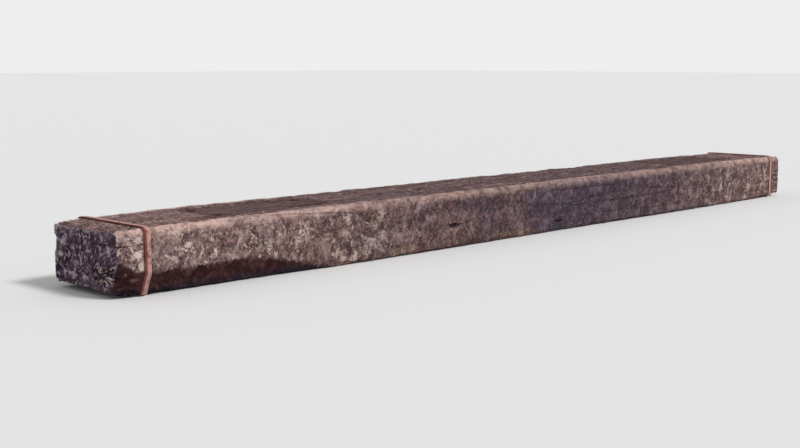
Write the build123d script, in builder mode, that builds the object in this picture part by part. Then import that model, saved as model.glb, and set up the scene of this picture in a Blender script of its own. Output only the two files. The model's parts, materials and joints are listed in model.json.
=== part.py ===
"""A used broad-gauge railway sleeper: one sawn oak baulk with a steel hoop bound round it near each end.

All sizes are in millimetres. X runs along the sleeper, +Z is up and the long side that has lost its
lower edge faces -Y. The origin is on the floor under the middle of the sleeper.
"""

import os
from math import cos, pi, radians, sin

from build123d import *

# Baulk
length = 2600
width = 240
height = 140
top_edge_radius = 15
back_edge_radius = 11
bottom_edge_radius = 9

# Wear of the long faces, which were sawn flat and have moved since
side_wave = 2.0
side_wave_length = 1150
back_wave_lead = 60  # degrees by which the back's wave leads the front's
station_spacing = 116

# Ends: the cut is worn back all round, and the underside lifts off the floor towards each end
end_wear = 5
end_wear_length = 9
end_lift = 8
end_lift_length = 270
end_top_drop = 4
end_top_drop_length = 300

# Wood taken off below the loft, so that all of the underside that touches the floor is one flat face
underside_trim = 0.6

# Lower front edge, sloped away by the tree's own outside at the left end: full size as far as
# wane_full_length from that end, and gone at wane_length
wane_height = 46
wane_depth = 20
wane_full_length = 310
wane_length = 600
lower_edge_height = 8
lower_edge_depth = 6
wane_edge_radius = 5

# Lower front corner of the left end, broken off from this height on the end's edge to this far along
# the sleeper, where the break runs out on the slope of the lower edge, short of the hoop
corner_break_top = 78
corner_break_length = 57

# Rail seats: the imprint of a ribbed plate under each rail, and its screw spike holes
rail_gauge = 1668
rail_head_width = 70
plate_length = 345
plate_width = 160
plate_imprint_depth = 4
plate_corner_radius = 12
spike_spacing_x = 285
spike_spacing_y = 90
spike_hole_radius = 10

# Hoops: a flat steel band round each end, its two ends lapped under a folded clip on the back face
hoop_inset = 67
band_width = 15
band_thickness = 1.5
hoop_clearance = 0.3
band_tail = 22
clip_length = 26
clip_wall = 1.0
clip_fit = 0.25
clip_lip = 5.5
clip_height = 78
pocket_clearance = 0.3

# Drying checks: each is a split that is widest at the end face and closes inside the wood.
# Pith is where the growth rings centre on an end face, as y and z.
pith = {"left": (-14, 34), "right": (22, 48)}
# Angle from +Y in degrees, start and end as distances from the pith, opening and depth
checks = {
    "left": [
        (164, 26, 92, 3.0, 120),
        (112, 12, 98, 3.6, 165),
        (52, 16, 104, 3.2, 140),
        (8, 22, 96, 2.4, 90),
    ],
    "right": [
        (150, 14, 100, 3.4, 150),
        (98, 10, 84, 3.8, 175),
        (28, 18, 86, 2.6, 110),
        (222, 20, 66, 2.2, 80),
    ],
}
# The split just under the top front edge of the left end, which runs out through the front face
shake_height = 104
shake_reach = 74
shake_opening = 2.6
shake_depth = 46


def from_left(x):
    """Distance of a place from the left end."""
    return x + length / 2


def toward_end(x, stretch):
    """1 at either end of the sleeper, falling to 0 at the given distance from it."""
    return max(0.0, 1 - min(from_left(x), length - from_left(x)) / stretch)


def wane(x):
    """Height and depth of the slope on the lower front edge."""
    gone = (from_left(x) - wane_full_length) / (wane_length - wane_full_length)
    share = (1 + cos(pi * min(max(gone, 0.0), 1.0))) / 2
    return (
        lower_edge_height + (wane_height - lower_edge_height) * share,
        lower_edge_depth + (wane_depth - lower_edge_depth) * share,
    )


def front_face(x):
    """Y of the front face."""
    return -width / 2 + side_wave * sin(2 * pi * from_left(x) / side_wave_length)


def back_face(x):
    """Y of the back face."""
    return width / 2 + side_wave * sin(2 * pi * from_left(x) / side_wave_length + radians(back_wave_lead))


def top_face(x):
    """Z of the top face, which is flat between the ends, where the rails sit."""
    return height - end_top_drop * toward_end(x, end_top_drop_length)


def bottom_face(x):
    """Z of the underside, before it is trimmed to the floor."""
    return end_lift * toward_end(x, end_lift_length) ** 2 - underside_trim


def section_outline(x, inset=0.0):
    """Draws the cross-section at x, drawn in by the inset."""
    slope_height, slope_depth = wane(x)
    front, back = front_face(x) + inset, back_face(x) - inset
    top, bottom = top_face(x) - inset, bottom_face(x) + inset
    FilletPolyline(
        (front + slope_depth, bottom),
        (front, bottom + slope_height),
        (front, top),
        (back, top),
        (back, bottom),
        radius=[wane_edge_radius, wane_edge_radius, top_edge_radius, back_edge_radius, bottom_edge_radius],
        close=True,
    )


hoop_x = {"left": -length / 2 + hoop_inset, "right": length / 2 - hoop_inset}
end_x = {"left": -length / 2, "right": length / 2}
inward = {"left": 1, "right": -1}
seat_x = {"left": -(rail_gauge + rail_head_width) / 2, "right": (rail_gauge + rail_head_width) / 2}


def loft_stations():
    """Places along X and the section drawn at each, as (place, section's own place, inset).

    A hoop's stretch, a band's width each way from its middle, keeps one section, so that the band
    lies flat on all sides.
    """
    hooped = {
        side: [(hoop_x[side] + way * band_width, hoop_x[side], 0) for way in (-1, 1)] for side in hoop_x
    }
    worn = {side: end_x[side] + inward[side] * end_wear_length for side in end_x}
    first, last = hoop_x["left"] + band_width, hoop_x["right"] - band_width
    bays = round((last - first) / station_spacing)
    between = [first + (last - first) * bay / bays for bay in range(1, bays)]
    return (
        [(end_x["left"], end_x["left"], end_wear), (worn["left"], worn["left"], 0)]
        + hooped["left"]
        + [(place, place, 0) for place in between]
        + hooped["right"]
        + [(worn["right"], worn["right"], 0), (end_x["right"], end_x["right"], end_wear)]
    )


def clip_place(side):
    """Y of the outside of the lower band layer at the clip."""
    return back_face(hoop_x[side]) + hoop_clearance


# Timber
with BuildPart() as timber:
    for place, drawn_at, inset in loft_stations():
        with BuildSketch(Plane.YZ.offset(place)):
            with BuildLine():
                section_outline(drawn_at, inset)
            make_face()
    loft(ruled=True)
    split(bisect_by=Plane.XY, keep=Keep.TOP)

    # Broken corner: the plane through its top that holds the slope's own line where the break runs out
    break_end = end_x["left"] + corner_break_length
    break_top = Vector(end_x["left"], front_face(end_x["left"]), corner_break_top)
    along = Vector(break_end, front_face(break_end), bottom_face(break_end) + wane_height) - break_top
    slope = Vector(0, wane_depth, -wane_height)
    split(bisect_by=Plane(origin=break_top, x_dir=along, z_dir=slope.cross(along)), keep=Keep.BOTTOM)

    # Rail seats
    with BuildSketch(Plane.XY.offset(height - plate_imprint_depth)):
        with Locations(*[(seat_x[side], 0) for side in seat_x]):
            RectangleRounded(plate_length, plate_width, plate_corner_radius)
    extrude(amount=2 * plate_imprint_depth, mode=Mode.SUBTRACT)
    with Locations(*[(seat_x[side], 0, height) for side in seat_x]):
        with GridLocations(spike_spacing_x, spike_spacing_y, 2, 2):
            Hole(spike_hole_radius)

    # Drying checks, each a wedge with its edge inside the wood
    for side in checks:
        pith_y, pith_z = pith[side]
        for angle, start, end, opening, depth in checks[side]:
            across = (0, cos(radians(angle)), sin(radians(angle)))
            foot = (end_x[side], pith_y + start * across[1], pith_z + start * across[2])
            with BuildSketch(Plane(origin=foot, x_dir=(inward[side], 0, 0), z_dir=across)):
                with BuildLine():
                    Polyline((0, -opening / 2), (depth, 0), (0, opening / 2), close=True)
                make_face()
            extrude(amount=end - start, mode=Mode.SUBTRACT)
    shake_foot = (end_x["left"], -width, shake_height)
    with BuildSketch(Plane(origin=shake_foot, x_dir=(1, 0, 0), z_dir=(0, 1, 0))):
        with BuildLine():
            Polyline((0, -shake_opening / 2), (shake_depth, 0), (0, shake_opening / 2), close=True)
        make_face()
    extrude(amount=width / 2 + shake_reach, mode=Mode.SUBTRACT)

    # Pocket that each clip has pressed into the back face
    for side in hoop_x:
        pocket_depth = clip_wall + clip_fit + pocket_clearance - hoop_clearance
        pocket_across = band_width + 2 * (clip_fit + clip_wall + pocket_clearance)
        with Locations((hoop_x[side], back_face(hoop_x[side]), clip_height)):
            Box(pocket_across, 2 * pocket_depth, clip_length + 2 * pocket_clearance, mode=Mode.SUBTRACT)
timber.part.label = "sleeper_timber"


def make_hoop(side):
    """The band: one turn round the section, with its free end lapped outside it at the clip."""
    with BuildPart() as hoop:
        start = Plane.YZ.offset(hoop_x[side] - band_width / 2)
        for outward, mode in ((hoop_clearance + band_thickness, Mode.ADD), (hoop_clearance, Mode.SUBTRACT)):
            with BuildSketch(start):
                with BuildLine():
                    section_outline(hoop_x[side])
                make_face()
                offset(amount=outward)
            extrude(amount=band_width, mode=mode)
        lap_y = clip_place(side) + band_thickness
        with Locations((hoop_x[side], lap_y, clip_height - clip_length / 2)):
            Box(
                band_width,
                band_thickness,
                clip_length + band_tail,
                align=(Align.CENTER, Align.MIN, Align.MIN),
            )
    hoop.part.label = f"anti_split_hoop_{side}"
    return hoop.part


def make_clip(side):
    """The folded clip: a channel over both layers of the band, with its lips turned in under them."""
    layers = 2 * band_thickness
    inner_across = band_width + 2 * clip_fit
    inner_deep = layers + 2 * clip_fit
    with BuildPart() as clip:
        with BuildSketch(Plane.XY.offset(clip_height - clip_length / 2)):
            with Locations((hoop_x[side], clip_place(side) + layers / 2)):
                Rectangle(inner_across + 2 * clip_wall, inner_deep + 2 * clip_wall)
                Rectangle(inner_across, inner_deep, mode=Mode.SUBTRACT)
            with Locations((hoop_x[side], clip_place(side) - clip_fit - clip_wall / 2)):
                Rectangle(inner_across + 2 * clip_wall - 2 * clip_lip, 2 * clip_wall, mode=Mode.SUBTRACT)
        extrude(amount=clip_length)
    clip.part.label = f"hoop_clip_{side}"
    return clip.part


pieces = [timber.part]
for side in hoop_x:
    pieces += [make_hoop(side), make_clip(side)]

os.makedirs("parts", exist_ok=True)
for piece in pieces:
    export_step(piece, f"parts/{piece.label}.step")
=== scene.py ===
"""A weathered oak railway sleeper with a steel hoop round each end, dressed around its fixed solids.

Lengths are metres. X runs along the sleeper, +Z is up and the photographed long side faces -Y.
"""

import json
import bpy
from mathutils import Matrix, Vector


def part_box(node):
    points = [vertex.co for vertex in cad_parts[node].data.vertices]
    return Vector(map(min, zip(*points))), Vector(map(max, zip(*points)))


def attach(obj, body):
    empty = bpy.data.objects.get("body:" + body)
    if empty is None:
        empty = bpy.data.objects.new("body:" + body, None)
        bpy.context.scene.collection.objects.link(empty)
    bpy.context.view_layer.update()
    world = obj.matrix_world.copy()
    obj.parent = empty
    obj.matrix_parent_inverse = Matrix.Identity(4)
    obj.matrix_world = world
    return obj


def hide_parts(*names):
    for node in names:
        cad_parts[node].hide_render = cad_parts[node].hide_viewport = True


bl_info = {
    "name": "Weathered railway sleeper",
    "version": (1, 0, 0),
    "blender": (4, 5, 0),
    "location": "3D View > Sidebar > Sleeper",
    "description": "Weathers an oak sleeper and its steel hoops around their fixed solids",
    "category": "Object",
}

from math import cos, pi, radians, sin

import bmesh
import bpy
from bpy.props import FloatProperty, FloatVectorProperty, IntProperty, PointerProperty
from mathutils import Vector

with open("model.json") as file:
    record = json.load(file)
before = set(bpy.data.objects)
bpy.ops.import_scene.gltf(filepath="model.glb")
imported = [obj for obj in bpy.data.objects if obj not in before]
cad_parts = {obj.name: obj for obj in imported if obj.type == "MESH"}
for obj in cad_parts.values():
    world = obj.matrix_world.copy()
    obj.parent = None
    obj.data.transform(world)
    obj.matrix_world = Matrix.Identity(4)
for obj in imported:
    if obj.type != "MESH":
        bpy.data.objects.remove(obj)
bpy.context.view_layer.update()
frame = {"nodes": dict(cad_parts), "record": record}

MM = 0.001
TIMBER = "sleeper_timber"
HOOPS = ("anti_split_hoop_left", "anti_split_hoop_right")
CLIPS = ("hoop_clip_left", "hoop_clip_right")

low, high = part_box(TIMBER)
LEFT = low.x
TOP = high.z
HALF_LENGTH = (high.x - low.x) / 2
HALF_WIDTH = (high.y - low.y) / 2
HOOP_BOXES = [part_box(hoop) for hoop in HOOPS]
HOOP_X = [(near.x + far.x) / 2 for near, far in HOOP_BOXES]
HOOP_HALF_BAND = (HOOP_BOXES[0][1].x - HOOP_BOXES[0][0].x) / 2
MOUNTS = frame["record"]["mounts"]
SEAT_X = [mount["pos_m"][0] for mount in MOUNTS if mount["name"].startswith("rail_seat")]
SPIKE_HOLES = [mount["pos_m"][:2] for mount in MOUNTS if mount["kind"] == "bore"]
# Middle of the growth rings on the left and the right end face, as y and z
LEFT_PITH = (-0.014, 0.034)
RIGHT_PITH = (0.022, 0.048)
RINGS_APART = 0.0046
# Imprint of the plate under a rail, half its length and half its width
PLATE_HALF = (0.1725, 0.080)
# Distances from a spike hole's middle, each as start and end: its edge, inside which it is painted dark as
# shade, and the rust's fading
HOLE_EDGE = (0.0098, 0.0106)
HOLE_RUST = (0.012, 0.030)
# Sloped lower front edge at the left end: its height there, and where it starts to run out and ends
WANE_HEIGHT = 0.049
WANE_RUN_OUT = (-0.990, -0.700)
# Break of the lower corner: its height on the end, and how far along it meets the slope
BREAK_TOP = 0.078
BREAK_LENGTH = 0.057
# Single marks on the front face, each as x, z, half length and half height
NICK = (-0.352, 0.056, 0.026, 0.007)
CRACK = (0.072, 0.028, 0.028, 0.005)
BARE_SPOTS = ((-1.253, 0.086, 0.011, 0.009), (-1.246, 0.062, 0.008, 0.011))
FLAKES = ((-1.279, 0.048, 0.016, 0.005), (-1.260, 0.036, 0.014, 0.004))
BLUE_SPOTS = ((-0.03, 0.085, 0.07, 0.045), (0.22, 0.100, 0.10, 0.045))
TAN_SPOTS = ((-0.53, 0.014, 0.060, 0.020), (-0.12, 0.010, 0.130, 0.014))
# On the left end, as y and z: the middle of a spray of pale splinters, and a patch of saw marks
SPRAY = (-0.062, 0.042)
SAW_MARKS = (-0.098, 0.117)
SAW_MARKS_HALF = (0.030, 0.020)
SAW_LINES_APART = 0.0034

# Mesh: how strongly slices gather at the ends, what is welded or collapsed, and what counts as a scrap
GATHERING = 0.22
WELD_DISTANCE = 1e-6
SHORTEST_EDGE = 1e-5
SCRAP_FACES = 20
SMOOTH_ANGLE = radians(50)

# Stage
FLOOR_SIZE = 80
FLOOR_GREY = (0.74, 0.74, 0.74)
SUN_PLACE = (1.0, -3.0, 3.0)
SUN_DIRECTION = (0.22, -0.66, 0.72)
SUN_WIDTH = radians(14)
BACKGROUND_STRENGTH = 0.86


def paint(red, green, blue):
    """A colour as it looks on a screen, 0 to 255, as the linear colour that a shader takes."""
    shares = (channel / 255 for channel in (red, green, blue))
    return tuple(s / 12.92 if s <= 0.04045 else ((s + 0.055) / 1.055) ** 2.4 for s in shares)


def colour(name, description, red, green, blue):
    """A setting that holds a colour."""
    return FloatVectorProperty(
        name=name,
        description=description,
        default=paint(red, green, blue),
        subtype="COLOR",
        min=0,
        max=1,
        size=3,
    )


def length(name, description, default):
    """A setting that holds a length."""
    return FloatProperty(name=name, description=description, default=default, min=0, max=10, unit="LENGTH")


def count(name, description, default, most):
    """A setting that holds a number of cuts."""
    return IntProperty(name=name, description=description, default=default, min=1, max=most)


class Value:
    """A number in a node tree. Arithmetic on it adds Math nodes."""

    def __init__(self, nodes, socket):
        self.nodes, self.socket = nodes, socket

    def __add__(self, other):
        return self.nodes.math("ADD", self, other)

    def __sub__(self, other):
        return self.nodes.math("SUBTRACT", self, other)

    def __rsub__(self, other):
        return self.nodes.math("SUBTRACT", other, self)

    def __mul__(self, other):
        return self.nodes.math("MULTIPLY", self, other)

    def __truediv__(self, other):
        return self.nodes.math("DIVIDE", self, other)

    def __pow__(self, other):
        return self.nodes.math("POWER", self, other)

    def __abs__(self):
        return self.nodes.math("ABSOLUTE", self)

    __radd__ = __add__
    __rmul__ = __mul__


class Nodes:
    """Adds nodes to the tree of a material, a modifier or the world."""

    def __init__(self, tree):
        self.tree = tree

    def add(self, kind, settings=None, sockets=None, output=0):
        """Adds a node with its settings, then its sockets' values or links, and gives one output."""
        node = self.tree.nodes.new(kind)
        for name, setting in (settings or {}).items():
            setattr(node, name, setting)
        for key, value in (sockets or {}).items():
            if isinstance(value, Value):
                self.tree.links.new(value.socket, node.inputs[key])
            else:
                node.inputs[key].default_value = value
        return Value(self, node.outputs[output]) if len(node.outputs) else None

    def math(self, operation, *values):
        return self.add("ShaderNodeMath", {"operation": operation}, dict(enumerate(values)))

    def most(self, *values):
        result = values[0]
        for value in values[1:]:
            result = self.math("MAXIMUM", result, value)
        return result

    def hypotenuse(self, first, second):
        return self.math("SQRT", first**2 + second**2)

    def rise(self, value, start, end):
        """0 up to start, 1 from end on, and smooth between."""
        sockets = {0: value, 1: start, 2: end, 3: 0.0, 4: 1.0}
        return self.add("ShaderNodeMapRange", {"interpolation_type": "SMOOTHSTEP"}, sockets)

    def fall(self, value, start, end):
        """1 up to start and 0 from end on."""
        return 1 - self.rise(value, start, end)

    def vector(self, x, y, z):
        return self.add("ShaderNodeCombineXYZ", None, {0: x, 1: y, 2: z})

    def outputs(self, value, *names):
        """Other outputs of the node that a value comes from."""
        return [Value(self, value.socket.node.outputs[name]) for name in names]

    def split(self, vector):
        """The three parts of a vector."""
        return self.outputs(self.add("ShaderNodeSeparateXYZ", None, {0: vector}), 0, 1, 2)

    def noise(self, vector, scale, detail=2.0, roughness=0.5, distortion=0.0):
        sockets = {"Vector": vector, "Scale": scale, "Detail": detail}
        sockets.update({"Roughness": roughness, "Distortion": distortion})
        return self.add("ShaderNodeTexNoise", None, sockets)

    def cell_edge(self, vector):
        """Distance to the nearest border between random cells, in cells."""
        sockets = {"Vector": vector, "Scale": 1.0}
        return self.add("ShaderNodeTexVoronoi", {"feature": "DISTANCE_TO_EDGE"}, sockets)

    def cell_shade(self, vector):
        """One random number for each of many cells."""
        sockets = {"Vector": vector, "Scale": 1.0}
        return self.split(self.add("ShaderNodeTexVoronoi", {"feature": "F1"}, sockets, output=1))[0]

    def mix(self, factor, first, second):
        """The first colour, changed into the second by the factor."""
        sockets = {0: factor, 6: opaque(first), 7: opaque(second)}
        return self.add("ShaderNodeMix", {"data_type": "RGBA"}, sockets, output=2)


def opaque(tint):
    """A plain colour with its alpha, or a socket as it is."""
    return tint if isinstance(tint, Value) else (*tint, 1.0)


def deselect_all():
    bpy.ops.object.select_all(action="DESELECT")


def activate(piece):
    """Makes a piece the only one selected, and the one in hand."""
    deselect_all()
    piece.select_set(True)
    bpy.context.view_layer.objects.active = piece


def apply_modifiers(piece):
    activate(piece)
    for modifier in list(piece.modifiers):
        bpy.ops.object.modifier_apply(modifier=modifier.name)


def merged_copy(node, name):
    """A copy of a fixed solid with its loose triangles merged."""
    copy = frame["nodes"][node].copy()
    copy.data = copy.data.copy()
    copy.name = copy.data.name = name
    copy.parent = None
    bpy.context.collection.objects.link(copy)
    activate(copy)
    bpy.ops.object.mode_set(mode="EDIT")
    bpy.ops.mesh.select_all(action="SELECT")
    bpy.ops.mesh.remove_doubles(threshold=WELD_DISTANCE)
    bpy.ops.object.mode_set(mode="OBJECT")
    return copy


def small_shells(mesh):
    """Faces of every shell that has only a few. A shell ends at an edge that isn't between two faces."""
    unseen = set(mesh.faces)
    found = []
    while unseen:
        shell = [unseen.pop()]
        for face in shell:
            seams = [edge for edge in face.edges if len(edge.link_faces) == 2]
            near = {other for edge in seams for other in edge.link_faces} & unseen
            unseen -= near
            shell += near
        if len(shell) < SCRAP_FACES:
            found += shell
    return found


def drop_scraps(piece):
    """Takes out what a boolean leaves behind: faces without area, and scraps and flaps of a few faces."""
    activate(piece)
    bpy.ops.object.mode_set(mode="EDIT")
    bpy.ops.mesh.select_all(action="SELECT")
    bpy.ops.mesh.remove_doubles(threshold=WELD_DISTANCE)
    bpy.ops.mesh.dissolve_degenerate(threshold=SHORTEST_EDGE)
    bpy.ops.mesh.quads_convert_to_tris(quad_method="BEAUTY", ngon_method="BEAUTY")
    mesh = bmesh.from_edit_mesh(piece.data)
    bmesh.ops.delete(mesh, geom=small_shells(mesh), context="FACES")
    bmesh.update_edit_mesh(piece.data)
    bpy.ops.object.mode_set(mode="OBJECT")
    piece.data.validate()


def remove(piece):
    mesh = piece.data
    bpy.data.objects.remove(piece)
    bpy.data.meshes.remove(mesh)


def finish_piece(piece, material, slot, *nodes):
    """Gives a piece its material and its body, and hides the solids that it stands for. The slot is not
    used.
    """
    piece.data.materials.clear()
    piece.data.materials.append(material)
    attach(piece, "root")
    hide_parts(*nodes)


def new_material(name):
    material = bpy.data.materials.new(name)
    material.use_nodes = True
    material.node_tree.nodes.clear()
    return material, Nodes(material.node_tree)


def close_material(nodes, base_colour, roughness, gloss, height, bump_distance, metallic=0.0):
    """Ends a material in one surface shader with a bump.

    Gloss is how much it mirrors, 0.5 on most things.
    """
    bump = nodes.add("ShaderNodeBump", None, {"Strength": 1.0, "Distance": bump_distance, "Height": height})
    sockets = {"Base Color": base_colour, "Roughness": roughness, "Metallic": metallic, "Normal": bump}
    sockets["Specular IOR Level"] = gloss
    surface = nodes.add("ShaderNodeBsdfPrincipled", None, sockets)
    nodes.add("ShaderNodeOutputMaterial", None, {"Surface": surface})


class TimberSettings(bpy.types.PropertyGroup):
    """Cuts, relief and colours of the timber"""

    cuts_along: count("Cuts along", "Cuts in each of two rounds", 18, 60)
    cuts_across: count("Cuts across", "Cuts over the width", 71, 99)
    cuts_up: count("Cuts up", "Cuts over the height", 41, 99)
    fibre_depth: length("Fibre depth", "Relief of the torn fibres", 2.4 * MM)
    lump_depth: length("Lump depth", "Relief of the broad lumps", 1.8 * MM)
    flake_depth: length("Flake depth", "Step between torn flakes", 1.3 * MM)
    end_depth: length("End depth", "Wood broken off round the ends", 4.5 * MM)
    edge_depth: length("Edge depth", "Wood worn off the long edges", 3.0 * MM)
    crack_depth: length("Crack depth", "Depth of the cracks along the fibres", 5.0 * MM)
    brown: colour("Brown", "Mauve brown of the sides", 128, 96, 94)
    grey: colour("Grey", "Blue grey of the sides", 93, 80, 92)
    deep: colour("Deep", "Darker wood towards the middle", 84, 60, 61)
    slate: colour("Slate", "Blue grey patches towards the middle", 50, 45, 66)
    rose: colour("Rose", "Reddish patches of the sides", 134, 96, 97)
    tan: colour("Tan", "Yellowish wood at the lower edge", 150, 120, 96)
    pale: colour("Pale", "Dusty fibres", 166, 136, 132)
    # Fleck is partly pale torn fibre and partly a painted highlight where the sun catches the fibres
    fleck_highlight: colour("Fleck", "Cream flecks of torn fibre", 220, 196, 187)
    # Dark is painted shade in pits, furrows and between fibres; it also marks the plate imprint, and
    # darkens the spike holes as painted shade
    dark: colour("Dark", "Pits and shaded fibre", 52, 34, 34)
    # Edge is partly wear and partly a painted highlight on the rounded top edges
    edge: colour("Edge", "Worn long edges", 218, 184, 172)
    bare: colour("Bare", "Fresh bare wood near the left end", 228, 208, 196)
    # The slope's colours are darkened as painted shade, as the slope faces down; its foot colour is a
    # painted shadow
    wane_in_shade: colour("Wane", "Slope of the lost lower edge", 44, 14, 15)
    wane_light: colour("Wane light", "Lighter wood of that slope", 92, 52, 54)
    wane_foot_shadow: colour("Wane low", "Foot of that slope", 28, 20, 36)
    # The end grain colours are darkened and tinted blue as painted shade, for the shade the ends lie in
    end: colour("End", "End grain", 92, 70, 90)
    end_fleck: colour("End fleck", "Splinters and flecks of the end grain", 206, 184, 196)
    end_dark: colour("End dark", "Pits of the end grain", 28, 16, 28)
    rust: colour("Rust", "Rust washed into the wood", 96, 56, 50)


class HoopSettings(bpy.types.PropertyGroup):
    """Colours of the hoops and clips"""

    dust: colour("Dust", "Dusty band", 180, 142, 132)
    rust: colour("Rust", "Rust under the dust", 124, 74, 66)
    # Partly bare rust and partly painted shadow along the outer edge
    edge_rust_and_shadow: colour("Bare rust", "Bare rust along the outer edge", 96, 40, 36)


class StageSettings(bpy.types.PropertyGroup):
    """Camera and light"""

    camera_place: FloatVectorProperty(
        name="Camera place",
        description="Where the camera stands",
        default=(-2.535, -2.087, 0.455),
        subtype="TRANSLATION",
    )
    aim: FloatVectorProperty(
        name="Aim",
        description="Point in the middle of the picture",
        default=(-0.42, 0.0, 0.055),
        subtype="TRANSLATION",
    )
    lens_angle: FloatProperty(
        name="Lens angle",
        description="Width of view",
        default=radians(36.5),
        unit="ROTATION",
    )
    world_strength: FloatProperty(
        name="World strength",
        description="Light from all round",
        default=0.5,
        min=0,
    )
    sun_strength: FloatProperty(
        name="Sun strength",
        description="Main light",
        default=2.3,
        min=0,
    )


class Spot:
    """A point of the timber: its place, its facing, and its run along and across the fibres."""

    def __init__(self, nodes, place, normal):
        self.place = place
        self.x, self.y, self.z = nodes.split(place)
        self.face_x, self.face_y, self.face_z = nodes.split(normal)
        self.on_end = nodes.rise(abs(self.face_x), 0.6, 0.85)
        self.on_top = nodes.rise(self.face_z, 0.6, 0.85)
        self.on_front = nodes.fall(self.face_y, -0.85, -0.6)
        self.off_front = 1 - self.on_front
        level = nodes.math("GREATER_THAN", abs(self.face_z), 0.72)
        cut = nodes.math("GREATER_THAN", abs(self.face_x), 0.72)
        self.along = self.x + cut * (self.y - self.x)
        self.across = self.z + level * (self.y - self.z)
        self.flat = nodes.vector(self.along, self.across, 0.0)
        self.from_end = HALF_LENGTH - abs(self.x)

    def stretched(self, nodes, scale_along, scale_across):
        """The place scaled more across the fibres than along them."""
        return nodes.vector(self.x * scale_along, self.y * scale_across, self.z * scale_across)


def mark(nodes, spot, x, z, half_long, half_high):
    """1 in the middle of one place on the front face, and 0 round it."""
    reach = ((spot.x - x) / half_long) ** 2 + ((spot.z - z) / half_high) ** 2
    ragged = reach + nodes.noise(spot.place, 0.5 / half_high, 2.0) * 0.8
    return nodes.fall(ragged, 0.5, 1.4) * nodes.fall(spot.face_y, -0.60, -0.35)


def marks(nodes, spot, places):
    """1 in the middle of each of some places on the front face, and 0 elsewhere."""
    return nodes.most(*[mark(nodes, spot, *place) for place in places])


def long_checks(nodes, spot):
    """Cracks that wander along the fibres, mostly on the top and the back."""
    wander = nodes.noise(spot.stretched(nodes, 3.0, 12.0), 1.0, 3.0) * 0.35
    run = nodes.vector(spot.along * 1.7, spot.across * 21.0 + wander, 3.7)
    line = nodes.fall(nodes.cell_edge(run), 0.006, 0.040)
    open_here = nodes.rise(nodes.noise(spot.stretched(nodes, 2.2, 10.0), 1.0, 2.0), 0.50, 0.60)
    faces = 0.35 + spot.on_top * 0.65 + nodes.rise(spot.face_y, 0.6, 0.85) * 0.3
    return line * open_here * faces * (1 - spot.on_end)


def low_slope(nodes, spot):
    """1 over the sloped lower front edge and the broken corner, with a ragged upper border."""
    slope_height = WANE_HEIGHT * nodes.fall(spot.x, *WANE_RUN_OUT)
    from_left = spot.x - LEFT
    break_height = BREAK_TOP - from_left * ((BREAK_TOP - WANE_HEIGHT) / BREAK_LENGTH)
    ragged = nodes.noise(spot.place, 70.0, 5.0, 0.75) * 0.036 - 0.018
    border = nodes.most(slope_height, break_height) + ragged
    below = nodes.fall(spot.z, border - 0.006, border + 0.004)
    return below * nodes.fall(spot.y, -HALF_WIDTH + 0.045, -HALF_WIDTH + 0.060) * (1 - spot.on_end)


def seat_area(nodes, spot):
    """1 over either plate imprint."""
    half_length, half_width = PLATE_HALF
    across = nodes.fall(abs(spot.y), half_width - 0.006, half_width)
    along = [nodes.fall(abs(spot.x - seat), half_length - 0.006, half_length) for seat in SEAT_X]
    return nodes.most(*along) * across * spot.on_top


def hoop_zone(nodes, spot, reach):
    """1 under a hoop, falling to 0 at a distance from it."""
    end = HOOP_HALF_BAND + reach
    return nodes.most(*[nodes.fall(abs(spot.x - hoop), HOOP_HALF_BAND, end) for hoop in HOOP_X])


def relief(nodes, settings, spot):
    """How far the weather has eaten in at a spot of the timber."""
    torn = nodes.noise(spot.stretched(nodes, 11.0, 120.0), 1.0, 4.0, 0.65)
    ridges = nodes.noise(spot.stretched(nodes, 1.8, 80.0), 1.0, 4.0, 0.7, 0.25)
    lines = (nodes.fall(torn, 0.34, 0.66) + nodes.fall(ridges, 0.36, 0.60)) * (1 - spot.on_front * 0.6)
    tufts = nodes.fall(nodes.noise(spot.place, 75.0, 3.0, 0.6), 0.38, 0.62) * spot.on_front
    fibre = (lines + tufts) * (settings.fibre_depth / 2)
    lumps = nodes.rise(nodes.noise(spot.place, 22.0, 4.0, 0.6), 0.36, 0.66) * settings.lump_depth
    warp = nodes.noise(spot.place, 30.0, 2.0) * 0.6
    warped = nodes.vector(spot.x * 22.0 + warp, spot.y * 70.0 + warp, spot.z * 70.0)
    flakes = nodes.cell_shade(warped) * settings.flake_depth
    spread = (fibre + lumps + flakes) * (1 - seat_area(nodes, spot) * 0.8)

    end_zone = nodes.fall(spot.from_end, 0.004, 0.070)
    broken = nodes.rise(nodes.noise(spot.place, 48.0, 4.0, 0.6), 0.40, 0.66) * end_zone * settings.end_depth
    side_edge = nodes.rise(abs(spot.y), HALF_WIDTH * 0.88, HALF_WIDTH)
    level_edge = nodes.rise(abs(spot.z - TOP / 2), TOP * 0.39, TOP * 0.5)
    bites = nodes.rise(nodes.noise(spot.stretched(nodes, 20.0, 45.0), 1.0, 4.0, 0.65), 0.46, 0.66)
    worn = side_edge * level_edge * bites * settings.edge_depth

    cracks = long_checks(nodes, spot) * settings.crack_depth
    nick = mark(nodes, spot, *NICK) * settings.crack_depth
    crack = mark(nodes, spot, *CRACK) * settings.crack_depth * 0.7
    depth = spread * (1 - spot.on_end * 0.6) + broken + worn + cracks + nick + crack
    return depth * (1 - hoop_zone(nodes, spot, 0.012) * 0.8) + 0.2 * MM


def modifier_tree(name):
    """A new geometry tree, the way to add nodes to it, and the geometry that comes in."""
    tree = bpy.data.node_groups.new(name, "GeometryNodeTree")
    tree.interface.new_socket("Geometry", in_out="INPUT", socket_type="NodeSocketGeometry")
    tree.interface.new_socket("Geometry", in_out="OUTPUT", socket_type="NodeSocketGeometry")
    nodes = Nodes(tree)
    return tree, nodes, nodes.add("NodeGroupInput")


def add_tree_modifier(piece, tree):
    modifier = piece.modifiers.new(tree.name, "NODES")
    modifier.node_group = tree


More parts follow.
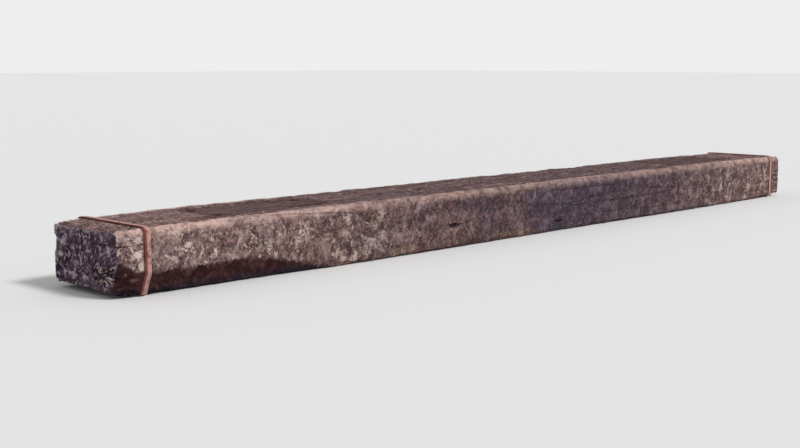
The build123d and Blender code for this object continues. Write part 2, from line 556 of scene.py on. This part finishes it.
def gather_slices():
    """Moves the cuts along the timber closer together near its ends."""
    tree, nodes, geometry = modifier_tree("gather slices")
    x, y, z = nodes.split(nodes.add("GeometryNodeInputPosition"))
    share = x / HALF_LENGTH
    place = nodes.vector(x * (1 + GATHERING * (1 - share * share)), y, z)
    moved = nodes.add("GeometryNodeSetPosition", None, {"Geometry": geometry, "Position": place})
    nodes.add("NodeGroupOutput", None, {0: moved})
    return tree


def weather_tree(settings):
    """Eats the relief into the timber, inwards from its own surface."""
    tree, nodes, geometry = modifier_tree("weather")
    normal = nodes.add("GeometryNodeInputNormal")
    spot = Spot(nodes, nodes.add("GeometryNodeInputPosition"), normal)
    depth = relief(nodes, settings, spot) * -1
    inward = nodes.add("ShaderNodeVectorMath", {"operation": "SCALE"}, {"Vector": normal, "Scale": depth})
    moved = nodes.add("GeometryNodeSetPosition", None, {"Geometry": geometry, "Offset": inward})
    nodes.add("NodeGroupOutput", None, {0: moved})
    return tree


def cut_edges_along(piece, axis, cuts):
    """Subdivides every edge of a block that runs along one axis."""
    activate(piece)
    bpy.ops.object.mode_set(mode="EDIT")
    bpy.ops.mesh.select_all(action="DESELECT")
    bpy.ops.mesh.select_mode(type="EDGE")
    mesh = bmesh.from_edit_mesh(piece.data)
    for edge in mesh.edges:
        run = edge.verts[1].co - edge.verts[0].co
        edge.select_set(abs(run[axis]) > 0.9 * run.length)
    bmesh.update_edit_mesh(piece.data)
    bpy.ops.mesh.subdivide(number_cuts=cuts)
    bpy.ops.object.mode_set(mode="OBJECT")


class SLEEPER_OT_timber(bpy.types.Operator):
    """Model the weathered timber from a block drawn onto the sawn baulk"""

    bl_idname = "sleeper.timber"
    bl_label = "Weathered timber"

    def execute(self, context):
        settings = context.scene.sleeper_timber
        sawn = merged_copy(TIMBER, "sawn_baulk")
        deselect_all()
        bpy.ops.mesh.primitive_cube_add(size=1, location=(low + high) / 2, scale=high - low)
        timber = context.active_object
        timber.name = timber.data.name = "weathered_timber"
        bpy.ops.object.transform_apply(location=True, rotation=True, scale=True)
        cut_edges_along(timber, 0, settings.cuts_along)
        cut_edges_along(timber, 0, settings.cuts_along)
        cut_edges_along(timber, 1, settings.cuts_across)
        cut_edges_along(timber, 2, settings.cuts_up)
        add_tree_modifier(timber, gather_slices())
        wrap = timber.modifiers.new("wrap", "SHRINKWRAP")
        wrap.target = sawn
        wrap.wrap_method = "NEAREST_SURFACEPOINT"
        add_tree_modifier(timber, weather_tree(settings))
        hollow = timber.modifiers.new("holes and checks", "BOOLEAN")
        hollow.operation = "INTERSECT"
        hollow.object = sawn
        hollow.solver = "MANIFOLD"
        apply_modifiers(timber)
        drop_scraps(timber)
        remove(sawn)
        activate(timber)
        bpy.ops.object.shade_smooth_by_angle(angle=SMOOTH_ANGLE)
        finish_piece(timber, timber_material(settings), "weathered_oak", TIMBER)
        return {"FINISHED"}


def strokes(nodes, spot, spacing, half_long, half_thin, share):
    """Short ragged strokes of torn fibre, one at most in each random cell.

    Each is turned its own way and has its own size and strength. The share is how many of the cells
    have one, from 0 to 1.
    """
    settings = {"voronoi_dimensions": "2D", "feature": "F1"}
    cell = nodes.add("ShaderNodeTexVoronoi", settings, {"Vector": spot.flat, "Scale": 1 / spacing})
    tint, middle = nodes.outputs(cell, "Color", "Position")
    turn, chance, size = nodes.split(tint)
    middle_along, middle_across, _ = nodes.split(middle)
    reach_along, reach_across = spot.along - middle_along, spot.across - middle_across
    cosine, sine = nodes.math("COSINE", turn * pi), nodes.math("SINE", turn * pi)
    length_share = (reach_along * cosine + reach_across * sine) / half_long
    width_share = (reach_across * cosine - reach_along * sine) / half_thin
    fray = nodes.noise(spot.flat, 0.5 / half_thin, 4.0, 0.75, 0.5) * 3.4
    reach = (length_share**2 + width_share**2) / (0.35 + size * 1.3)
    cover = nodes.fall(reach + fray, 1.5, 2.7)
    return cover * nodes.math("LESS_THAN", chance, share) * (0.45 + size * 0.55)


def torn_fibre(nodes, spot, turn, scale_long, scale_thin):
    """Noise drawn out in one direction over a face, its turn measured from the fibres' own."""
    drawn = spot.along * cos(turn) + spot.across * sin(turn)
    over = spot.across * cos(turn) - spot.along * sin(turn)
    return nodes.noise(nodes.vector(drawn * scale_long, over * scale_thin, 0.0), 1.0, 4.0, 0.65)


class Fibre:
    """The noises of the wood that several of its colours and its bump share."""

    def __init__(self, nodes, spot):
        self.tufts = torn_fibre(nodes, spot, 1.25, 40.0, 110.0)
        self.threads = nodes.noise(spot.stretched(nodes, 34.0, 620.0), 1.0, 4.0, 0.7)
        self.ridges = nodes.noise(spot.stretched(nodes, 1.8, 80.0), 1.0, 6.0, 0.72, 0.25)
        self.blotch = nodes.noise(spot.place, 38.0, 5.0, 0.7, 0.4)
        self.grain = nodes.noise(spot.place, 210.0, 4.0, 0.7, 0.6)
        self.clumps = nodes.noise(spot.place, 32.0, 6.0, 0.72, 0.3)


def broad_tones(nodes, settings, spot, light):
    """Colour of the sides under their fibre, and where the bluer stretch lies."""
    broad = nodes.noise(spot.stretched(nodes, 3.4, 8.0), 1.0, 3.0, 0.55)
    drift = spot.x + broad - 0.5
    bluer = nodes.rise(drift, -0.40, 0.15) * nodes.fall(drift, 0.30, 0.90) * (0.3 + spot.on_front * 0.7)
    grey_share = nodes.most(nodes.rise(broad, 0.40, 0.62) * 0.75 * (1 - light * 0.45), bluer)
    base = nodes.mix(grey_share, settings.brown, settings.grey)
    base = nodes.mix((1 - light) * 0.80, base, nodes.mix(grey_share, settings.deep, settings.slate))
    rosy = nodes.rise(nodes.noise(spot.stretched(nodes, 5.0, 11.0), 1.7, 3.0, 0.6), 0.50, 0.64)
    base = nodes.mix(rosy * (0.35 + light * 0.20), base, settings.rose)
    base = nodes.mix(marks(nodes, spot, BLUE_SPOTS) * 0.9, base, settings.slate)
    base = nodes.mix(marks(nodes, spot, TAN_SPOTS) * 0.75, base, settings.tan)
    return base, bluer


def add_fibre(nodes, settings, spot, fibre, light, base):
    """Lays dusty fibre, and painted shade in its furrows and pits, over a colour."""
    streak = nodes.noise(spot.stretched(nodes, 9.0, 150.0), 1.0, 5.0, 0.65)
    streak = streak * spot.off_front + fibre.tufts * spot.on_front
    tone = (streak * 0.5 + fibre.blotch * 0.5) * 0.83 + fibre.grain * 0.35
    base = nodes.mix(nodes.rise(tone, 0.58, 0.69) * (0.28 + light * 0.62), base, settings.pale)
    base = nodes.mix(nodes.fall(tone, 0.47, 0.61) * 0.90, base, settings.dark)
    base = nodes.mix(nodes.rise(fibre.ridges, 0.50, 0.66) * spot.off_front * 0.60, base, settings.pale)
    furrows = nodes.fall(fibre.ridges, 0.33, 0.47) * (0.10 + spot.off_front * 0.75)
    base = nodes.mix(furrows, base, settings.dark)
    speckle = nodes.noise(spot.place, 115.0, 3.0, 0.6, 0.5)
    base = nodes.mix(nodes.fall(speckle, 0.37, 0.48) * 0.60, base, settings.dark)
    return nodes.mix(nodes.rise(speckle, 0.53, 0.63) * (0.18 + light * 0.30), base, settings.pale)


def add_flecks(nodes, settings, spot, fibre, light, base):
    """Lays cream flecks, partly pale torn fibre and partly painted highlight, and short painted shadows
    over a colour, and gives both for the bump too.
    """
    zone = nodes.rise(nodes.noise(spot.place, 14.0, 4.0, 0.6), 0.42, 0.60)
    by_left_end = nodes.fall(spot.x, LEFT + 0.060, LEFT + 0.090) * 0.7
    crowd = (0.06 + light * 0.84) * (0.12 + nodes.most(zone, by_left_end) * 0.88)
    crowd = crowd * (1 - spot.off_front * 0.8)

    # Painted shade between the clumps of fibre
    base = nodes.mix(nodes.fall(fibre.clumps, 0.38, 0.49) * 0.60 * spot.on_front, base, settings.dark)
    clump = nodes.rise(fibre.clumps, 0.52, 0.595) * (0.10 + crowd * 1.1) * spot.on_front
    base = nodes.mix(clump, base, settings.fleck_highlight)

    slanted = nodes.most(*[torn_fibre(nodes, spot, turn, 42.0, 105.0) for turn in (1.05, -0.95)])
    torn = nodes.rise(slanted, 0.575, 0.665) * (0.14 + crowd) * spot.on_front
    upright = nodes.rise(torn_fibre(nodes, spot, 1.4, 70.0, 230.0), 0.52, 0.66) * 0.40 * spot.on_front
    level = torn_fibre(nodes, spot, 0.05, 22.0, 260.0)
    splinters = nodes.rise(level, 0.58, 0.66) * spot.off_front * 0.55
    large = strokes(nodes, spot, 30 * MM, 13 * MM, 5.5 * MM, crowd * 0.8)
    small = strokes(nodes, spot, 15 * MM, 7 * MM, 2.6 * MM, crowd * 0.75)
    shade = strokes(nodes, spot, 19 * MM, 10 * MM, 3.2 * MM, 0.55)
    base = nodes.mix(shade * 0.80, base, settings.dark)
    base = nodes.mix(upright * (0.5 + light * 0.5), base, settings.pale)
    base = nodes.mix(nodes.most(torn, splinters), base, settings.fleck_highlight)
    base = nodes.mix(small * (0.30 + light * 0.65), base, settings.fleck_highlight)
    base = nodes.mix(large * (0.30 + light * 0.70), base, settings.fleck_highlight)
    return base, large + small + torn + clump, shade


def add_hairs(nodes, settings, spot, fibre, light, base):
    """Lays the thinnest fibres over a colour."""
    hairs = nodes.noise(spot.place, 420.0, 4.0, 0.75, 0.8)
    thin = fibre.threads * spot.off_front + hairs * spot.on_front
    base = nodes.mix(nodes.fall(thin, 0.40, 0.50) * 0.50, base, settings.dark)
    pale_share = 0.12 + spot.off_front * 0.18 + light * 0.14
    # Pale threads in the fleck colour are partly painted highlight
    return nodes.mix(nodes.rise(thin, 0.54, 0.66) * pale_share, base, settings.fleck_highlight)


def worn_edge_and_highlight(nodes, spot, fibre, light):
    """How far a spot is worn pale along the top edges, partly a painted highlight where the rounded edges
    catch the light.
    """
    edge_break = nodes.noise(spot.stretched(nodes, 25.0, 70.0), 1.0, 4.0) * 0.020
    top_edge = nodes.rise(spot.z + edge_break, TOP - 0.018, TOP + 0.006)
    side_edge = nodes.rise(abs(spot.y), HALF_WIDTH - 0.024, HALF_WIDTH - 0.012)
    patchy = nodes.rise(fibre.grain * 0.35 + fibre.blotch * 0.65, 0.38, 0.56)
    return top_edge * side_edge * (0.45 + 0.50 * light) * (0.25 + patchy * 0.75)


def slope_colour_and_shade(nodes, settings, spot, fibre):
    """Colour of the sloped lower edge and of the broken corner, which has a few lighter flakes, all
    darkened as painted shade, with a painted shadow along the foot.
    """
    slope = nodes.mix(nodes.rise(fibre.blotch, 0.47, 0.62) * 0.50, settings.wane_in_shade, settings.wane_light)
    slope = nodes.mix(nodes.rise(fibre.clumps, 0.54, 0.62) * 0.12, slope, settings.pale)
    # Painted shadow along the foot of the slope
    foot_shadow = nodes.fall(spot.z + fibre.blotch * 0.02, 0.018, 0.034)
    slope = nodes.mix(foot_shadow * 0.85, slope, settings.wane_foot_shadow)
    flakes = marks(nodes, spot, FLAKES) * nodes.rise(fibre.blotch, 0.42, 0.56)
    return nodes.mix(flakes * 0.75, slope, settings.rose)


def end_grain(nodes, settings, spot):
    """Colour of the cut ends: rings and rays about the pith, nearly lost under dark blotches and splinters,
    all darkened and tinted blue as painted shade.
    """
    on_left = nodes.math("LESS_THAN", spot.x, 0.0)
    reach_y = spot.y - (on_left * (LEFT_PITH[0] - RIGHT_PITH[0]) + RIGHT_PITH[0])
    reach_z = spot.z - (on_left * (LEFT_PITH[1] - RIGHT_PITH[1]) + RIGHT_PITH[1])
    radius = nodes.hypotenuse(reach_y, reach_z)
    turn = nodes.math("ARCTAN2", reach_z, reach_y)
    wander = nodes.noise(spot.place, 18.0, 3.0) * 0.012
    rings = nodes.math("SINE", (radius + wander) * (2 * pi / RINGS_APART))
    rays = nodes.noise(nodes.vector(turn * 14, radius * 14, 0.0), 1.0, 5.0, 0.75)
    patches = nodes.noise(spot.place, 26.0, 4.0, 0.6)
    blotch = nodes.noise(spot.place, 62.0, 7.0, 0.78, 0.5)
    chips = nodes.noise(nodes.vector(turn * 9, radius * 62, 2.0), 1.0, 5.0, 0.75) * 0.7 + blotch * 0.3
    pores = nodes.noise(spot.place, 620.0, 3.0, 0.7)
    base = nodes.mix(nodes.rise(rings, -0.2, 0.9) * 0.60, settings.end, settings.end_dark)
    base = nodes.mix(nodes.fall(rays, 0.36, 0.48) * 0.7, base, settings.end_dark)
    base = nodes.mix(nodes.rise(rays, 0.53, 0.63) * 0.40, base, settings.end_fleck)
    base = nodes.mix(nodes.fall(patches, 0.42, 0.52) * 0.65, base, settings.end_dark)
    base = nodes.mix(nodes.fall(blotch, 0.38, 0.50) * 0.85, base, settings.end_dark)
    base = nodes.mix(nodes.rise(chips, 0.525, 0.585) * (0.35 + on_left * 0.50), base, settings.end_fleck)
    base = nodes.mix(nodes.fall(pores, 0.40, 0.52) * 0.30, base, settings.end_dark)

    saw_y = (spot.y - SAW_MARKS[0]) / SAW_MARKS_HALF[0]
    saw_z = (spot.z - SAW_MARKS[1]) / SAW_MARKS_HALF[1]
    sawn = nodes.fall(saw_y**2 + saw_z**2 + blotch * 1.2, 0.6, 1.6) * on_left
    saw_wave = nodes.math("SINE", (spot.z + wander * 0.3) * (2 * pi / SAW_LINES_APART))
    saw_lines = nodes.rise(saw_wave + pores, 0.2, 1.2)
    base = nodes.mix(sawn * 0.65, base, nodes.mix(saw_lines, settings.grey, settings.end_dark))

    spray_y, spray_z = spot.y - SPRAY[0], spot.z - SPRAY[1]
    spray_reach = nodes.hypotenuse(spray_y * 0.62, spray_z)
    spray_turn = nodes.math("ARCTAN2", spray_z, spray_y)
    needles = nodes.noise(nodes.vector(spray_turn * 3.6, spray_reach * 34, 1.0), 1.0, 5.0, 0.75)
    sprayed = nodes.fall(spray_reach + blotch * 0.036 + rays * 0.020, 0.040, 0.056) * on_left
    base = nodes.mix(nodes.fall(needles, 0.44, 0.53) * sprayed, base, settings.end_dark)
    bright = nodes.rise(needles, 0.53, 0.58) * sprayed * nodes.rise(spray_reach, 0.002, 0.010)
    base = nodes.mix(bright, base, settings.bare)

    clear = 1 - sprayed * 0.8
    large = strokes(nodes, spot, 30 * MM, 12 * MM, 5.5 * MM, 0.40) * clear
    small = strokes(nodes, spot, 14 * MM, 6.5 * MM, 3 * MM, 0.5) * clear
    side_rim = nodes.rise(abs(spot.y), HALF_WIDTH - 0.018, HALF_WIDTH - 0.006)
    top_rim = nodes.rise(spot.z, TOP - 0.022, TOP - 0.010)
    frayed = nodes.most(side_rim, top_rim) * nodes.rise(blotch, 0.47, 0.55)
    return nodes.mix(nodes.most(large * 0.9, small * 0.8, frayed * 0.8), base, settings.end_fleck)


def add_rust(nodes, settings, spot, fibre, base):
    """Lays rust under the hoops and round the spike holes over a colour, and darkens the holes as painted
    shade.
    """
    rusty = hoop_zone(nodes, spot, 5 * MM) * nodes.rise(fibre.blotch, 0.35, 0.60)
    base = nodes.mix(rusty * 0.8, base, settings.rust)
    for hole_x, hole_y in SPIKE_HOLES:
        away = nodes.hypotenuse(spot.x - hole_x, spot.y - hole_y)
        base = nodes.mix(nodes.fall(away, *HOLE_RUST) * spot.on_top * 0.7, base, settings.rust)
        # Painted shade inside the spike hole
        base = nodes.mix(nodes.fall(away, *HOLE_EDGE), base, settings.dark)
    return base


def timber_material(settings):
    """Old oak: mauve and grey fibre with cream flecks that are partly painted highlight, worn edges with a
    painted highlight, end grain darkened as painted shade, and some rust.
    """
    material, nodes = new_material("weathered oak")
    place = nodes.add("ShaderNodeTexCoord", output=3)
    spot = Spot(nodes, place, nodes.add("ShaderNodeTexCoord", output=1))
    fibre = Fibre(nodes, spot)
    # The fibre is palest towards the left end, and paler at the right end than in the middle
    light = nodes.most(nodes.fall(spot.x, -1.12, -0.32), nodes.rise(spot.x, 0.55, 1.2) * 0.55)

    base, bluer = broad_tones(nodes, settings, spot, light)
    base = add_fibre(nodes, settings, spot, fibre, light, base)
    base, flecks, shade = add_flecks(nodes, settings, spot, fibre, light, base)
    base = nodes.mix(marks(nodes, spot, BARE_SPOTS), base, settings.bare)
    base = nodes.mix(bluer * 0.35, base, settings.slate)
    base = add_hairs(nodes, settings, spot, fibre, light, base)
    # Pale top edges: wear and painted highlight
    base = nodes.mix(worn_edge_and_highlight(nodes, spot, fibre, light), base, settings.edge)
    # The slope and the broken corner get their colour, darkened as painted shade
    base = nodes.mix(low_slope(nodes, spot) * 0.96, base, slope_colour_and_shade(nodes, settings, spot, fibre))
    # The ends get their grain colour, darkened and tinted blue as painted shade
    base = nodes.mix(spot.on_end, base, end_grain(nodes, settings, spot))
    # Painted shade in the cracks and the nick
    cracks = nodes.most(long_checks(nodes, spot), marks(nodes, spot, (NICK, CRACK)))
    base = nodes.mix(cracks * 0.9, base, settings.end_dark)
    base = nodes.mix(seat_area(nodes, spot) * 0.55, base, settings.dark)
    base = add_rust(nodes, settings, spot, fibre, base)

    fine = fibre.threads * spot.off_front + fibre.tufts * spot.on_front
    ridges = fibre.ridges * (0.1 + spot.off_front * 0.9)
    height = fine * 0.5 + fibre.grain * 0.9 + ridges + flecks * 0.35 - shade * 0.3 - cracks
    close_material(nodes, base, 0.92, 0.15, height, 3.2 * MM)
    return material


def band_material(settings):
    """Rusted steel band under dust, darker along the edge that faces the end of the sleeper, partly bare
    rust and partly painted shadow.
    """
    material, nodes = new_material("rusted band")
    place = nodes.add("ShaderNodeTexCoord", output=3)
    x, _, _ = nodes.split(place)
    outward = abs(x) - HOOP_X[1]
    outer_edge = nodes.rise(outward, HOOP_HALF_BAND * 0.10, HOOP_HALF_BAND * 0.45)
    patches = nodes.noise(place, 55.0, 4.0, 0.65)
    base = nodes.mix(nodes.rise(patches, 0.32, 0.52), settings.rust, settings.dust)
    # The outer edge is darker: bare rust and painted shadow
    base = nodes.mix(outer_edge * 0.9, base, settings.edge_rust_and_shadow)
    scale_marks = nodes.rise(nodes.noise(place, 300.0, 3.0, 0.7), 0.54, 0.66)
    base = nodes.mix(scale_marks * 0.45, base, settings.rust)
    height = nodes.noise(place, 420.0, 4.0, 0.7) + patches * 0.6
    close_material(nodes, base, 0.8, 0.3, height, 0.6 * MM, metallic=0.1)
    return material


class SLEEPER_OT_hoops(bpy.types.Operator):
    """Rust the hoops and their clips"""

    bl_idname = "sleeper.hoops"
    bl_label = "Hoops and clips"

    def execute(self, context):
        material = band_material(context.scene.sleeper_hoops)
        for node in HOOPS + CLIPS:
            band = frame["nodes"][node]
            band.data.materials.clear()
            band.data.materials.append(material)
        return {"FINISHED"}


def plain_material(name, tint):
    material, nodes = new_material(name)
    surface = nodes.add("ShaderNodeBsdfPrincipled", None, {"Base Color": opaque(tint), "Roughness": 0.95})
    nodes.add("ShaderNodeOutputMaterial", None, {"Surface": surface})
    return material


class SLEEPER_OT_stage(bpy.types.Operator):
    """Set the floor, the lights and the camera"""

    bl_idname = "sleeper.stage"
    bl_label = "Stage"

    def execute(self, context):
        settings = context.scene.sleeper_stage
        scene = context.scene
        deselect_all()
        bpy.ops.mesh.primitive_plane_add(size=FLOOR_SIZE)
        floor = context.active_object
        floor.name = floor.data.name = "floor"
        floor.data.materials.append(plain_material("pale floor", FLOOR_GREY))

        bpy.ops.object.light_add(type="SUN", location=SUN_PLACE)
        sun = context.active_object
        sun.rotation_euler = Vector(SUN_DIRECTION).to_track_quat("Z", "Y").to_euler()
        sun.data.energy = settings.sun_strength
        sun.data.angle = SUN_WIDTH

        world = bpy.data.worlds.new("studio")
        scene.world = world
        world.use_nodes = True
        world.node_tree.nodes.clear()
        nodes = Nodes(world.node_tree)
        path = nodes.add("ShaderNodeLightPath")
        rays = nodes.outputs(path, "Is Camera Ray", "Is Glossy Ray", "Is Transmission Ray")
        extra = BACKGROUND_STRENGTH - settings.world_strength
        strength = nodes.most(*rays) * extra + settings.world_strength
        air = nodes.add("ShaderNodeBackground", None, {"Color": (1, 1, 1, 1), "Strength": strength})
        nodes.add("ShaderNodeOutputWorld", None, {"Surface": air})

        bpy.ops.object.camera_add(location=settings.camera_place)
        camera = context.active_object
        view = Vector(settings.aim) - Vector(settings.camera_place)
        camera.rotation_euler = view.to_track_quat("-Z", "Y").to_euler()
        camera.data.angle = settings.lens_angle
        scene.camera = camera
        scene.view_settings.view_transform = "Standard"
        return {"FINISHED"}


OPERATORS = (SLEEPER_OT_stage, SLEEPER_OT_timber, SLEEPER_OT_hoops)


class SLEEPER_PT_panel(bpy.types.Panel):
    """Lists the pieces of the sleeper"""

    bl_label = "Sleeper"
    bl_space_type = "VIEW_3D"
    bl_region_type = "UI"
    bl_category = "Sleeper"

    def draw(self, context):
        for operator in OPERATORS:
            self.layout.operator(operator.bl_idname)


GROUPS = {"sleeper_timber": TimberSettings, "sleeper_hoops": HoopSettings, "sleeper_stage": StageSettings}


def register():
    for group in GROUPS.values():
        bpy.utils.register_class(group)
    for name, group in GROUPS.items():
        setattr(bpy.types.Scene, name, PointerProperty(type=group))
    for operator in OPERATORS:
        bpy.utils.register_class(operator)
    bpy.utils.register_class(SLEEPER_PT_panel)


def unregister():
    bpy.utils.unregister_class(SLEEPER_PT_panel)
    for operator in reversed(OPERATORS):
        bpy.utils.unregister_class(operator)
    for name in GROUPS:
        delattr(bpy.types.Scene, name)
    for group in reversed(GROUPS.values()):
        bpy.utils.unregister_class(group)


def main():
    register()
    bpy.ops.sleeper.stage()
    bpy.ops.sleeper.timber()
    bpy.ops.sleeper.hoops()


if __name__ == "__main__":
    main()
